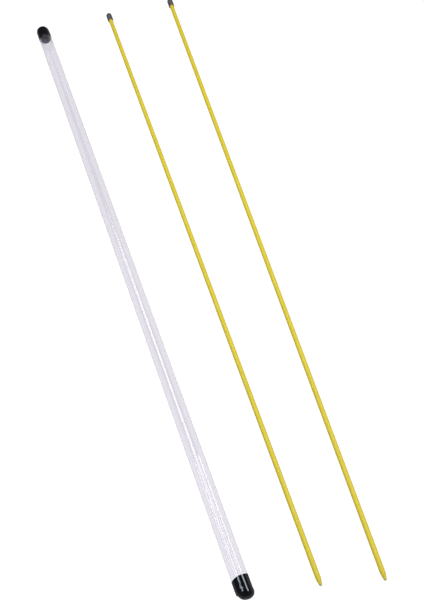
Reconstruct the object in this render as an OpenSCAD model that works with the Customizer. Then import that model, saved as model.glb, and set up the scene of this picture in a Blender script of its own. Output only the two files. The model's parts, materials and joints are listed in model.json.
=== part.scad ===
// A pair of golf alignment sticks with the clear tube that stores them.
// The tube lies along Y. The sticks lie beside it, fanned out, with their points towards -Y.
// Everything rests on the plane z = 0, and the origin is at the centre of the footprint.

/* [Sticks] */
// Length of a rod, from its point to its square end
rod_length = 1219; // [1000:1:1222]
// Diameter of a rod
rod_d = 8; // [6:0.1:9]
// Length of the ground point
point_length = 10.5; // [8:0.5:30]
// Radius of the blunt nose at the very tip
nose_r = 2.2; // [0.8:0.1:2.6]
// Chamfer around the square end
rod_chamfer = 0.4; // [0.2:0.1:0.8]

/* [Stick caps] */
// Length of the soft cap on the square end of a rod
stick_cap_length = 21; // [16:0.5:30]
// Thickness of its wall
stick_cap_wall = 1.65; // [0.8:0.05:1.9]
// Radius of the small flat at the centre of its rounded end
stick_cap_flat = 1; // [0.5:0.1:2]

/* [Tube] */
// Length of the closed tube, over both of its caps
tube_overall = 1228; // [1226:1:1300]
// Outside diameter of the tube
tube_d = 25; // [24.5:0.1:30]
// Thickness of the tube's wall
tube_wall = 1; // [0.7:0.1:1.2]

/* [Tube caps] */
// Length of a tube cap
tube_cap_length = 32; // [25:1:50]
// Thickness of its wall
tube_cap_wall = 0.6; // [0.5:0.05:1.5]
// Outer radius of its rounded end
tube_cap_round = 10; // [6:0.5:11]

/* [Fits] */
// Radial gap between a cap and what it is pushed over
cap_gap = 0.05; // [0.01:0.01:0.1]

/* [Layout] */
// Left stick: how far its point lies to the side of the tube's axis
left_point_x = 102; // [60:1:150]
// Left stick: how far its point lies beyond the middle of the tube
left_point_y = 633; // [600:1:700]
// Left stick: angle that it is turned away from the tube
left_fan = 1.9; // [0:0.1:3]
// Right stick: how far its point lies to the side of the tube's axis
right_point_x = 187; // [170:1:260]
// Right stick: how far its point lies beyond the middle of the tube
right_point_y = 658.5; // [640:0.5:720]
// Right stick: angle that it is turned away from the tube
right_fan = 4; // [3:0.1:6]

/* [Hidden] */
$fn = 96;

rod_r = rod_d / 2;
tube_r = tube_d / 2;
tube_length = tube_overall - 2 * tube_cap_round;
stick_cap_r = rod_r + cap_gap + stick_cap_wall;
stick_cap_round = stick_cap_r - stick_cap_flat;
tube_cap_r = tube_r + cap_gap + tube_cap_wall;

// A cap is pushed on until what it covers meets the start of its rounded end.
stick_cap_grip = stick_cap_length - stick_cap_round;
tube_cap_grip = tube_cap_length - tube_cap_round;

// The side of the point is a cone from its shoulder, tangent to the round nose.
nose_to_shoulder = point_length - nose_r;
shoulder_angle = atan(nose_to_shoulder / rod_r);
nose_meets_cone = shoulder_angle - acos(nose_r / norm([rod_r, nose_to_shoulder]));
nose_steps = 8;

// A stick rests on the shoulder of its point and on the mouth of its thicker cap.
stick_tilt = atan((stick_cap_r - rod_r) / (rod_length - stick_cap_grip - point_length));
point_height = rod_r * cos(stick_tilt) - point_length * sin(stick_tilt);

// The tube's axis is at x = 0 until the whole set is centred on its footprint.
footprint_left = -tube_cap_r;
footprint_right = right_point_x + rod_length * sin(right_fan) + stick_cap_r * cos(right_fan);
footprint_front = -max(left_point_y, right_point_y, tube_overall / 2);
footprint_back = tube_overall / 2;
centre_x = (footprint_left + footprint_right) / 2;
centre_y = (footprint_front + footprint_back) / 2;

clear_plastic = [0.86, 0.84, 0.91, 0.4];
black_vinyl = [0.05, 0.05, 0.06];
yellow_fibreglass = [0.89, 0.80, 0.16];
grey_vinyl = [0.33, 0.32, 0.36];

// Half outline of a rod: blunt nose, conical point, straight shaft and chamfered square end
module rod_outline() {
    nose = [for (i = [0:nose_steps])
        let (a = -90 + (nose_meets_cone + 90) * i / nose_steps) [nose_r * cos(a), nose_r + nose_r * sin(a)]];
    end = [[rod_r, rod_length - rod_chamfer], [rod_r - rod_chamfer, rod_length], [0, rod_length]];
    polygon(concat(nose, [[rod_r, point_length]], end));
}

// Half outline of a closed form with a rounded top, standing on its open end
module round_topped(radius, height, round_r) {
    square([radius, height - round_r]);
    square([radius - round_r, height]);
    translate([radius - round_r, height - round_r]) circle(round_r);
}

// Soft cap of even thickness, standing on its open mouth, whose rim is rounded
module soft_cap(radius, wall, length, round_r) {
    rim_r = wall / 2;
    rotate_extrude() {
        difference() {
            intersection() {
                round_topped(radius, length, round_r);
                translate([0, rim_r]) square([radius, length]);
            }
            round_topped(radius - wall, length - wall, round_r - wall);
        }
        translate([radius - rim_r, rim_r]) circle(rim_r);
    }
}

module placed() {
    translate([-centre_x, -centre_y, 0]) children();
}

// Turns what stands along Z to lie along the tube's axis, from its middle towards +Y
module along_tube() {
    placed() translate([0, 0, tube_cap_r]) rotate([-90, 0, 0]) children();
}

// Turns what stands along Z to lie along a stick, from the tip of its point
module along_stick(point_x, point_y, fan) {
    placed() translate([point_x, -point_y, point_height]) rotate([0, 0, -fan]) rotate([stick_tilt - 90, 0, 0])
        children();
}

module tube() {
    color(clear_plastic) along_tube() translate([0, 0, -tube_length / 2]) difference() {
        cylinder(r = tube_r, h = tube_length);
        translate([0, 0, -1]) cylinder(r = tube_r - tube_wall, h = tube_length + 2);
    }
}

module tube_cap() {
    translate([0, 0, tube_length / 2 - tube_cap_grip])
        soft_cap(tube_cap_r, tube_cap_wall, tube_cap_length, tube_cap_round);
}

module tube_top_cap() {
    color(black_vinyl) along_tube() tube_cap();
}

module tube_bottom_cap() {
    color(black_vinyl) along_tube() rotate([180, 0, 0]) tube_cap();
}

module rod() {
    rotate_extrude() rod_outline();
}

module stick_cap() {
    translate([0, 0, rod_length - stick_cap_grip])
        soft_cap(stick_cap_r, stick_cap_wall, stick_cap_length, stick_cap_round);
}

module left_stick() {
    color(yellow_fibreglass) along_stick(left_point_x, left_point_y, left_fan) rod();
}

module left_stick_cap() {
    color(grey_vinyl) along_stick(left_point_x, left_point_y, left_fan) stick_cap();
}

module right_stick() {
    color(yellow_fibreglass) along_stick(right_point_x, right_point_y, right_fan) rod();
}

module right_stick_cap() {
    color(grey_vinyl) along_stick(right_point_x, right_point_y, right_fan) stick_cap();
}

tube();
tube_top_cap();
tube_bottom_cap();
left_stick();
left_stick_cap();
right_stick();
right_stick_cap();
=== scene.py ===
"""Two golf alignment sticks beside the clear tube that stores them: the looks, built round the CAD frame.

Each CAD piece is replaced by a detailed, slightly uneven surface of revolution that stays within the CAD's
box. Every piece is built standing on its own local Z axis and is then laid along its CAD axis.
"""

import json
import math

import bmesh
import bpy
from mathutils import Matrix, Vector, noise


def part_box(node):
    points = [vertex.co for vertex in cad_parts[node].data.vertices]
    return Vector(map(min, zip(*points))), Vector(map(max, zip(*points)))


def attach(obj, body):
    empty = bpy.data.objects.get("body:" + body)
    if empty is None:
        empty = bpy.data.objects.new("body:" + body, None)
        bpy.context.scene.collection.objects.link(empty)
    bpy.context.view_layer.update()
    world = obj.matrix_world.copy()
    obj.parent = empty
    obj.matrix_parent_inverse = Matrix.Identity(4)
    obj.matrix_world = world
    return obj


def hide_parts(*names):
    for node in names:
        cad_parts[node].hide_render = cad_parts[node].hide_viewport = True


MM = 0.001
UP = Vector((0, 0, 1))
TUBE_AXIS = Vector((0, 1, 0))

# Sizes of the CAD that the frame doesn't state
CAP_GAP = 0.05 * MM
TUBE_CAP_DOME = 10 * MM
STICK_CAP_DOME = 4.7 * MM
ROD_NOSE = 2.2 * MM
ROD_CHAMFER = 0.4 * MM

# How the two tube caps were handled: the near one is slanted, leans over and is dented by a thumb.
THUMB_DENTS = [
    (math.radians(113), 10.5 * MM, 0.36 * MM, 3.0 * MM),
    (math.radians(87), 15.0 * MM, 0.46 * MM, 3.0 * MM),
    (math.radians(114), 19.5 * MM, 0.40 * MM, 2.8 * MM),
]
TUBE_CAPS = {
    "tube_top_cap": {"seed": 11.0, "cut": 0.6 * MM, "wave": 0.22 * MM, "towards": math.radians(200)},
    "tube_bottom_cap": {
        "seed": 47.0, "cut": 1.4 * MM, "wave": 0.30 * MM, "towards": math.radians(172),
        "skew": 3.4 * MM, "lean": 1.3 * MM, "dents": THUMB_DENTS,
    },
}

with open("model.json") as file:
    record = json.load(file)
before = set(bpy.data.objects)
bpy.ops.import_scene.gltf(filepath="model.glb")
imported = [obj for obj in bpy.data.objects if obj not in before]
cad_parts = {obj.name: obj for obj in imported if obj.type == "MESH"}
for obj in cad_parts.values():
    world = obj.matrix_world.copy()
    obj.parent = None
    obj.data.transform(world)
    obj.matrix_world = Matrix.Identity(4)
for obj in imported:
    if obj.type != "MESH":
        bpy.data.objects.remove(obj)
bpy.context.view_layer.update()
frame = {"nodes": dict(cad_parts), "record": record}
mounts = {m["name"]: m for m in frame["record"]["mounts"]}


# ---------------------------------------------------------------- where things are, from the frame


def span(node, origin, axis):
    """Where a CAD node starts and ends along an axis through origin, and how far from the axis it reaches."""
    points = [v.co - origin for v in frame["nodes"][node].data.vertices]
    along = [p.dot(axis) for p in points]
    radius = max((p - axis * a).length for p, a in zip(points, along))
    return min(along), max(along), radius


def standing_at(origin, axis):
    """The matrix that lays a piece's local Z along axis, from origin, with its local Y nearest to up."""
    side = UP.cross(axis).normalized()
    turn = Matrix((side, axis.cross(side), axis)).transposed()
    return Matrix.Translation(origin) @ turn.to_4x4()


# ---------------------------------------------------------------- meshes


def ease(low, high, value):
    """0 at low and before it, 1 at high and beyond it, and smooth in between."""
    t = min(1.0, max(0.0, (value - low) / (high - low)))
    return t * t * (3 - 2 * t)


def arc(centre, radius, start, end, steps):
    """Points (radius, height) along an arc of an outline, from start to end in degrees."""
    angles = [math.radians(start + (end - start) * i / steps) for i in range(steps + 1)]
    return [(centre[0] + radius * math.cos(a), centre[1] + radius * math.sin(a)) for a in angles]


def rungs(radius, start, end, step):
    """Points (radius, height) up a straight side, evenly spaced, without its two ends."""
    count = max(1, round(abs(end - start) / step))
    return [(radius, start + (end - start) * i / count) for i in range(1, count)]


def turned(name, outline, sides, shape=None, ring=False):
    """A closed surface turned about local Z. The outline is (radius, height) points from one pole to the
    other, or all the way round when ring is set. shape(radius, height, angle) may move each point."""
    at_pole = 0.0001 * MM
    mesh = bmesh.new()
    rows = []
    for radius, height in outline:
        if radius < at_pole:
            _, h = shape(0.0, height, 0.0) if shape else (0.0, height)
            rows.append([mesh.verts.new((0, 0, h))])
            continue
        row = []
        for i in range(sides):
            angle = 2 * math.pi * i / sides
            r, h = shape(radius, height, angle) if shape else (radius, height)
            row.append(mesh.verts.new((r * math.cos(angle), r * math.sin(angle), h)))
        rows.append(row)
    pairs = list(zip(rows, rows[1:])) + ([(rows[-1], rows[0])] if ring else [])
    for low, high in pairs:
        for i in range(sides):
            j = (i + 1) % sides
            corners = [low[i % len(low)], low[j % len(low)], high[j % len(high)], high[i % len(high)]]
            mesh.faces.new(list(dict.fromkeys(corners)))
    bmesh.ops.recalc_face_normals(mesh, faces=mesh.faces)
    data = bpy.data.meshes.new(name)
    mesh.to_mesh(data)
    mesh.free()
    data.polygons.foreach_set("use_smooth", [True] * len(data.polygons))
    piece = bpy.data.objects.new(name, data)
    bpy.context.scene.collection.objects.link(piece)
    return piece


def place(piece, matrix, node, material):
    """Lays a finished piece where its CAD node is, on that node's body."""
    piece.matrix_world = matrix
    piece.data.materials.append(material)
    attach(piece, node)
    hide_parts(node)


def uneven(angle, height, scale, seed):
    """Smooth noise from -1 to 1 that runs round a piece without a seam."""
    return noise.noise(Vector((math.cos(angle) * scale, math.sin(angle) * scale, height + seed)))


# ---------------------------------------------------------------- materials


class Nodes:
    """A material's node tree, with short calls for what the materials here are made of."""

    def __init__(self, name):
        self.material = bpy.data.materials.new(name)
        self.material.use_nodes = True
        self.tree = self.material.node_tree
        self.shader = self.tree.nodes["Principled BSDF"]
        self.output = self.tree.nodes["Material Output"]
        self.place = self.new("ShaderNodeTexCoord").outputs["Object"]

    def new(self, kind, **settings):
        node = self.tree.nodes.new(kind)
        for key, value in settings.items():
            setattr(node, key, value)
        return node

    def feed(self, target, value):
        if isinstance(value, bpy.types.NodeSocket):
            self.tree.links.new(value, target)
        else:
            target.default_value = value

    def set(self, **values):
        for key, value in values.items():
            self.feed(self.shader.inputs[key.replace("_", " ")], value)

    def stretched(self, x, y, z):
        """The piece's own coordinates in metres, multiplied along each axis."""
        node = self.new("ShaderNodeMapping")
        self.feed(node.inputs["Vector"], self.place)
        node.inputs["Scale"].default_value = (x, y, z)
        return node.outputs["Vector"]

    def noise(self, vector, detail=3.0, roughness=0.5):
        node = self.new("ShaderNodeTexNoise")
        self.feed(node.inputs["Vector"], vector)
        node.inputs["Scale"].default_value = 1.0
        node.inputs["Detail"].default_value = detail
        node.inputs["Roughness"].default_value = roughness
        return node.outputs["Fac"]

    def ramp(self, value, low, high, to_low=0.0, to_high=1.0):
        """value from low..high to to_low..to_high, clamped."""
        node = self.new("ShaderNodeMapRange", clamp=True)
        for key, number in (("From Min", low), ("From Max", high), ("To Min", to_low), ("To Max", to_high)):
            node.inputs[key].default_value = number
        self.feed(node.inputs["Value"], value)
        return node.outputs["Result"]

    def math(self, operation, a, b=0.0):
        node = self.new("ShaderNodeMath", operation=operation)
        self.feed(node.inputs[0], a)
        self.feed(node.inputs[1], b)
        return node.outputs[0]

    def mix(self, share, a, b):
        """Colour a where share is 0 and b where it is 1."""
        node = self.new("ShaderNodeMix", data_type="RGBA")
        self.feed(node.inputs["Factor"], share)
        self.feed(node.inputs["A"], a)
        self.feed(node.inputs["B"], b)
        return node.outputs["Result"]

    def height(self):
        """How far along the piece's own Z axis a point is, in metres."""
        node = self.new("ShaderNodeSeparateXYZ")
        self.feed(node.inputs[0], self.place)
        return node.outputs["Z"]

    def bump(self, height, distance, below=None):
        node = self.new("ShaderNodeBump")
        node.inputs["Distance"].default_value = distance
        self.feed(node.inputs["Height"], height)
        if below:
            self.feed(node.inputs["Normal"], below)
        return node.outputs["Normal"]


def clear_plastic():
    """Clear extruded tube, faintly lavender, with fine die lines and light scuffs along it."""
    n = Nodes("clear_plastic")
    die_lines = n.noise(n.stretched(420, 420, 1.2), detail=2.0)
    scuffs = n.noise(n.stretched(160, 160, 9), detail=4.0, roughness=0.6)
    polish = n.ramp(die_lines, 0.35, 0.65, 0.005, 0.02)
    n.set(
        Base_Color=(0.948, 0.935, 0.962, 1),
        Roughness=n.math("ADD", polish, n.ramp(scuffs, 0.6, 0.9, 0.0, 0.04)),
        IOR=1.5,
        Transmission_Weight=1.0,
    )
    # Rays from lamps go straight through, faintly tinted, so that the ground under the tube stays lit.
    straight = n.new("ShaderNodeBsdfTransparent")
    straight.inputs["Color"].default_value = (0.965, 0.96, 0.975, 1)
    choice = n.new("ShaderNodeMixShader")
    n.feed(choice.inputs[0], n.new("ShaderNodeLightPath").outputs["Is Shadow Ray"])
    n.feed(choice.inputs[1], n.shader.outputs[0])
    n.feed(choice.inputs[2], straight.outputs[0])
    n.feed(n.output.inputs["Surface"], choice.outputs[0])
    # The wall itself is tinted, so the tube is darker towards its sides, where more of it is looked through.
    depth = n.new("ShaderNodeVolumeAbsorption")
    depth.inputs["Color"].default_value = (0.55, 0.52, 0.63, 1)
    depth.inputs["Density"].default_value = 115.0
    n.feed(n.output.inputs["Volume"], depth.outputs[0])
    return n.material


def black_vinyl():
    """Glossy dip-moulded black vinyl with faint smears, and a matt blue-grey inside that is painted light: it
    stands in for the light that reaches the inside of the cap through the clear tube.
    """
    n = Nodes("black_vinyl")
    smears = n.noise(n.stretched(140, 140, 60), detail=4.0, roughness=0.6)
    grain = n.noise(n.stretched(1800, 1800, 1800), detail=2.0)
    inside = n.new("ShaderNodeAttribute", attribute_name="inside").outputs["Fac"]
    gloss = n.mix(n.ramp(smears, 0.4, 0.75), (0.0022, 0.0026, 0.0042, 1), (0.0050, 0.0058, 0.0090, 1))
    # Painted light: the matt blue-grey of the inner wall stands in for the light that reaches it through the
    # clear tube.
    painted_light_inside = n.mix(n.ramp(smears, 0.3, 0.7), (0.42, 0.52, 0.74, 1), (0.50, 0.61, 0.84, 1))
    n.set(
        Base_Color=n.mix(inside, gloss, painted_light_inside),
        Roughness=n.math("MAXIMUM", n.ramp(smears, 0.35, 0.75, 0.08, 0.18), n.math("MULTIPLY", inside, 0.95)),
        IOR=1.92,
        Specular_Tint=(0.82, 0.91, 1.0, 1),
        Normal=n.bump(grain, 0.00002),
    )
    return n.material


def grey_vinyl():
    """Dark grey, semi-matt dip-moulded vinyl."""
    n = Nodes("grey_vinyl")
    blotches = n.noise(n.stretched(260, 260, 120), detail=4.0, roughness=0.6)
    grain = n.noise(n.stretched(3000, 3000, 3000), detail=2.0)
    n.set(
        Base_Color=n.mix(n.ramp(blotches, 0.3, 0.7), (0.076, 0.073, 0.096, 1), (0.120, 0.115, 0.138, 1)),
        Roughness=n.ramp(blotches, 0.3, 0.7, 0.38, 0.55),
        IOR=1.5,
        Normal=n.bump(grain, 0.00003),
    )
    return n.material


def yellow_fibreglass(point_length, rod_length):
    """Satin yellow pultruded rod: fine fibres along it, grinding rings on its point, and a worn nose."""
    n = Nodes("yellow_fibreglass")
    fibres = n.noise(n.stretched(2600, 2600, 14), detail=3.0, roughness=0.6)
    drift = n.noise(n.stretched(60, 60, 5), detail=3.0)
    rings = n.noise(n.stretched(120, 120, 3200), detail=2.0)
    along = n.height()
    on_point = n.ramp(along, point_length, point_length * 0.85)
    on_nose = n.ramp(along, point_length * 0.28, point_length * 0.04)
    on_end = n.ramp(along, rod_length - 0.0006, rod_length - 0.0003)
    colour = n.mix(n.ramp(fibres, 0.3, 0.7), (0.735, 0.592, 0.018, 1), (0.85, 0.705, 0.038, 1))
    colour = n.mix(n.ramp(drift, 0.35, 0.7, 0.0, 0.35), colour, (0.89, 0.70, 0.046, 1))
    ringed = n.math("MULTIPLY", on_point, n.ramp(rings, 0.35, 0.7, 0.1, 0.5))
    colour = n.mix(ringed, colour, (0.62, 0.52, 0.06, 1))
    worn = n.math("MULTIPLY", on_nose, n.ramp(rings, 0.3, 0.6, 0.5, 0.8))
    colour = n.mix(worn, colour, (0.40, 0.37, 0.16, 1))
    colour = n.mix(n.math("MULTIPLY", on_end, 0.7), colour, (0.78, 0.74, 0.42, 1))
    shaft_rough = n.ramp(fibres, 0.3, 0.7, 0.34, 0.50)
    fibre_bump = n.bump(fibres, 0.00005)
    n.set(
        Base_Color=colour,
        Roughness=n.math("ADD", shaft_rough, n.math("MULTIPLY", on_point, 0.12)),
        IOR=1.52,
        Normal=n.bump(n.math("MULTIPLY", rings, on_point), 0.00006, fibre_bump),
    )
    return n.material


# ---------------------------------------------------------------- pieces


def dipped_cap(
    name, outer, bore, length, dome, sides, seed,
    cut=0.0, wave=0.0, flare=0.0, towards=0.0, skew=0.0, lean=0.0, dents=(),
):
    """A dip-moulded cap standing on its mouth: thin wall, rolled rim and a soft, uneven dome.

    cut is how far the dome's corner is drawn in on the side that faces the angle towards, and skew how much
    shorter the mouth is on that side. lean pushes the closed end over, away from that side. wave is how deep
    the uneven skin dips, and flare how much narrower the mouth is than the closed end. Each dent is (angle,
    height, depth, reach), where the skin is pressed in. The mesh attribute inside marks the inner wall."""
    wall = outer - bore
    rim = wall / 2
    inner_dome = max(dome - wall, dome * 0.5)
    outline = [(0.0, length)]
    outline += [(r, length) for r in (0.35 * (outer - dome), outer - dome)]
    outline += arc((outer - dome, length - dome), dome, 90, 0, 14)[1:]
    outline += rungs(outer, length - dome, rim, 1.0 * MM)
    outline += arc((outer - rim, rim), rim, 0, -180, 8)
    first_inside = 1 + (len(outline) - 1) * sides
    outline += rungs(bore, rim, length - wall - inner_dome, 3.0 * MM)
    outline += arc((bore - inner_dome, length - wall - inner_dome), inner_dome, 0, 90, 8)
    outline += [(0.0, length - wall)]

    def pressed(height, angle):
        """How far the skin dips in from the plain form."""
        dip = 0.5 + 0.5 * uneven(angle, height / (6 * MM), 1.7, seed)
        dip += 0.35 * (0.5 + 0.5 * uneven(angle, height / (2.6 * MM), 4.2, seed + 31))
        depth = wave * dip * (0.25 + 0.75 * ease(0.35 * length, 0.8 * length, height))
        for dent_angle, dent_height, dent_depth, reach in dents:
            around = math.remainder(angle - dent_angle, 2 * math.pi) * outer
            depth += dent_depth * math.exp(-(around ** 2 + (height - dent_height) ** 2) / reach ** 2)
        facing = 0.5 + 0.5 * math.cos(angle - towards)
        past_corner = (height - (length - 1.35 * dome)) / (1.7 * dome)
        corner = math.sin(math.pi * min(1.0, max(0.0, past_corner)))
        return depth * ease(0.0, 2 * wall, height) + cut * facing ** 2 * corner

    def skin(radius, height, angle):
        # The wall thins where it is pressed against what the cap covers, and gives way only beyond its end.
        outside = radius > bore + 0.25 * wall or height > length - 0.75 * wall
        room = 0.8 * max(0.0, height - (length - dome)) + (0.7 * wall if outside else 0.0)
        facing = math.cos(angle - towards)
        over = -lean * facing * ease(0.5 * length, length, height) * min(1.0, radius / (0.4 * outer))
        over = min(max(over, -room), room)
        inset = min(pressed(height, angle), room + min(over, 0.0))
        slope = math.pi / 2 * ease(length - dome, length, height)
        narrowing = flare * (1 - ease(0.0, 0.7 * length, height)) if outside else 0.0
        mouth = skew * max(0.0, facing) ** 1.5 * (1 - ease(0.0, 0.6 * length, height))
        new_radius = radius - inset * math.cos(slope) - narrowing + over
        return max(new_radius, 0.0), height - inset * math.sin(slope) + mouth

    cap = turned(name, outline, sides, skin)
    inside = cap.data.attributes.new("inside", "FLOAT", "POINT")
    inside.data.foreach_set("value", [float(i >= first_inside) for i in range(len(cap.data.vertices))])
    return cap


def storage_tube(name, outer, bore, length):
    """The clear tube, standing on one end: an extruded wall with faint die lines and softened cut edges."""
    edge = (outer - bore) / 5
    outline = arc((outer - edge, edge), edge, -90, 0, 3)
    outline += rungs(outer, edge, length - edge, 12 * MM)
    outline += arc((outer - edge, length - edge), edge, 0, 90, 3)
    outline += arc((bore + edge, length - edge), edge, 90, 180, 3)
    outline += rungs(bore, length - edge, edge, 12 * MM)
    outline += arc((bore + edge, edge), edge, 180, 270, 3)
    mid = (outer + bore) / 2
    ripple = 0.02 * MM

    def wall(radius, height, angle):
        line = 0.5 + 0.5 * uneven(angle, 0.0, 3.0, 7.0 if radius > mid else 19.0)
        return radius - ripple * line if radius > mid else radius + ripple * line, height

    return turned(name, outline, 160, wall, ring=True)


def rod(name, radius, length, point_length, nose, chamfer):
    """A pultruded rod standing on its ground point: round nose, ringed cone, chamfered end."""
    rise = point_length - nose
    meet = math.atan2(rise, radius) - math.acos(nose / math.hypot(radius, rise))
    outline = arc((0, nose), nose, -90, math.degrees(meet), 12)
    outline[0] = (0.0, 0.0)
    low_r, low_z = outline[-1]
    steps = round(point_length / (0.22 * MM))
    for i in range(1, steps + 1):
        outline.append((low_r + (radius - low_r) * i / steps, low_z + (point_length - low_z) * i / steps))
    outline += rungs(radius, point_length, length - chamfer, 15 * MM)
    outline += [(radius, length - chamfer), (radius - 0.15 * chamfer, length - 0.7 * chamfer)]
    outline += [(radius - 0.7 * chamfer, length - 0.15 * chamfer), (radius - chamfer, length), (0.0, length)]
    groove = 0.05 * MM
    ring_spacing = 0.5 * MM
    worn_shoulder = 0.12 * MM
    ripple = 0.012 * MM

    def ground(r, height, angle):
        if height < point_length + 1.0 * MM:
            cut = 0.5 + 0.5 * uneven(angle, height / ring_spacing, 0.4, 0.0)
            shoulder = worn_shoulder * ease(2.0 * MM, 0.0, abs(height - point_length))
            return max(r - groove * cut * ease(0.0, nose, r) - shoulder, 0.0), height
        return max(r - ripple * (0.5 + 0.5 * uneven(angle, 0.0, 2.2, 3.0)), 0.0), height

    return turned(name, outline, 64, ground)


# ---------------------------------------------------------------- the object


def build_tube_and_caps():
    bore = mounts["tube_mouth"]["dims"]["r_mm"] * MM
    low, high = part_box("tube")
    middle = (low + high) / 2
    start, end, outer = span("tube", middle, TUBE_AXIS)
    tube = storage_tube("storage_tube", outer, bore, end - start)
    place(tube, standing_at(middle + TUBE_AXIS * start, TUBE_AXIS), "tube", clear_plastic())
    vinyl = black_vinyl()
    for node, outward in (("tube_top_cap", TUBE_AXIS), ("tube_bottom_cap", -TUBE_AXIS)):
        near, far, cap_radius = span(node, middle, outward)
        cap = dipped_cap(
            node + "_vinyl", cap_radius, outer + CAP_GAP, far - near, TUBE_CAP_DOME, 128,
            flare=0.12 * MM, **TUBE_CAPS[node],
        )
        place(cap, standing_at(middle + outward * near, outward), node, vinyl)


def build_sticks():
    vinyl = grey_vinyl()
    rod_material = None
    for side, seed in (("left", 5.0), ("right", 71.0)):
        shaft = mounts[f"{side}_stick_shaft"]
        shoulder = Vector(shaft["pos_m"])
        axis = -Vector(shaft["axis"]).normalized()
        radius = shaft["dims"]["r_mm"] * MM
        tip, end, _ = span(f"{side}_stick", shoulder, axis)
        stick = rod(f"{side}_rod", radius, end - tip, -tip, ROD_NOSE, ROD_CHAMFER)
        rod_material = rod_material or yellow_fibreglass(-tip, end - tip)
        laid = standing_at(shoulder + axis * tip, axis)
        place(stick, laid, f"{side}_stick", rod_material)
        mouth, close, cap_radius = span(f"{side}_stick_cap", shoulder, axis)
        cap = dipped_cap(
            f"{side}_rod_cap", cap_radius, radius + CAP_GAP, close - mouth, STICK_CAP_DOME, 72, seed,
            cut=0.35 * MM, wave=0.12 * MM, flare=0.1 * MM, towards=seed,
        )
        place(cap, standing_at(shoulder + axis * mouth, axis), f"{side}_stick_cap", vinyl)


# ---------------------------------------------------------------- studio


def ground_material():
    """Pale matt studio paper round the set, burnt out to plain white further away.

    It glows most to the eye, straight or through glass, less on to what lies on it, least in reflections."""
    n = Nodes("studio_paper")
    path = n.new("ShaderNodeLightPath")
    seen = n.math("MAXIMUM", path.outputs["Is Camera Ray"], path.outputs["Is Transmission Ray"])
    bounced = n.ramp(path.outputs["Is Diffuse Ray"], 0.0, 1.0, 0.0, 0.60)
    glow = n.math("MAXIMUM", n.ramp(seen, 0.0, 1.0, 0.03, 0.93), bounced)
    n.set(
        Base_Color=(0.22, 0.22, 0.225, 1),
        Roughness=0.9,
        Emission_Color=(1, 1, 1, 1),
        Emission_Strength=glow,
        Specular_IOR_Level=0.1,
    )
    far = n.new("ShaderNodeEmission")
    n.feed(far.inputs["Strength"], n.ramp(seen, 0.0, 1.0, 0.06, 1.0))
    reach = n.new("ShaderNodeVectorMath", operation="LENGTH")
    n.feed(reach.inputs[0], n.place)
    blend = n.new("ShaderNodeMixShader")
    n.feed(blend.inputs[0], n.ramp(reach.outputs["Value"], 1.0, 1.6))
    n.feed(blend.inputs[1], n.shader.outputs[0])
    n.feed(blend.inputs[2], far.outputs[0])
    n.feed(n.output.inputs["Surface"], blend.outputs[0])
    n.material.cycles.emission_sampling = "NONE"
    return n.material


def build_sweep():
    """The ground and the backdrop: one bowl of paper, flat in the middle and curved up all round."""
    flat, curve, top = 4.2, 1.6, 4.5
    outline = [(0.0, 0.0), (1.0, 0.0), (flat, 0.0)]
    outline += arc((flat, curve), curve, -90, 0, 16)[1:]
    outline += [(flat + curve, top)]
    sweep = turned("studio_sweep", outline, 96)
    if sweep.data.polygons[0].normal.z < 0:
        sweep.data.flip_normals()
    sweep.data.materials.append(ground_material())


def build_softbox(name, location, turn, width, length, radiance, mirrored=True):
    """A softbox of the given radiance. Unturned, it lies level, faces down and its length runs along Y.

    One that is not mirrored lights things without showing as a streak on them."""
    light = bpy.data.lights.new(name, "AREA")
    light.shape = "RECTANGLE"
    light.size = width
    light.size_y = length
    light.energy = radiance * math.pi * width * length
    lamp = bpy.data.objects.new(name, light)
    bpy.context.scene.collection.objects.link(lamp)
    lamp.location = location
    lamp.rotation_euler = [math.radians(a) for a in turn]
    lamp.visible_camera = False
    lamp.visible_glossy = mirrored
    lamp.visible_transmission = mirrored


def build_studio():
    """Two strip softboxes, whose streaks show on the tube and its caps, under a broad overhead silk."""
    build_sweep()
    low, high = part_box("tube")
    tube_x = (low.x + high.x) / 2
    build_softbox("strip_left", (tube_x - 0.014, 0.523, 2.0), (0, 0, -35), 0.60, 2.6, 3.4)
    build_softbox("strip_right", (tube_x + 1.61, -0.35, 1.5), (0, 47, 0), 0.60, 1.5, 4.6)
    build_softbox("silk", (0, -0.3, 2.6), (0, 0, 0), 3.6, 4.4, 1.04, mirrored=False)
    world = bpy.data.worlds.new("studio_air")
    world.use_nodes = True
    world.node_tree.nodes["Background"].inputs["Color"].default_value = (1, 1, 1, 1)
    world.node_tree.nodes["Background"].inputs["Strength"].default_value = 0.03
    scene = bpy.context.scene
    scene.world = world
    scene.view_settings.view_transform = "Standard"
    scene.cycles.caustics_refractive = False
    scene.cycles.transmission_bounces = 16
    scene.cycles.denoising_input_passes = "RGB"


def build_camera():
    """Above and beyond the near end of the tube, looking back down on the set, and rolled to its left."""
    camera = bpy.data.objects.new("camera", bpy.data.cameras.new("camera"))
    bpy.context.scene.collection.objects.link(camera)
    camera.data.lens = 48.786
    camera.data.sensor_width = 36.0
    place_at = Vector((-0.0392, -0.7903, 1.1964))
    look_at = Vector((-0.0184, -0.1221, 0))
    roll = math.radians(-20.44)
    turn = (look_at - place_at).to_track_quat("-Z", "Y").to_matrix().to_4x4()
    camera.matrix_world = Matrix.Translation(place_at) @ turn @ Matrix.Rotation(roll, 4, "Z")
    camera.data.clip_end = 50
    bpy.context.scene.camera = camera


build_tube_and_caps()
build_sticks()
build_studio()
build_camera()
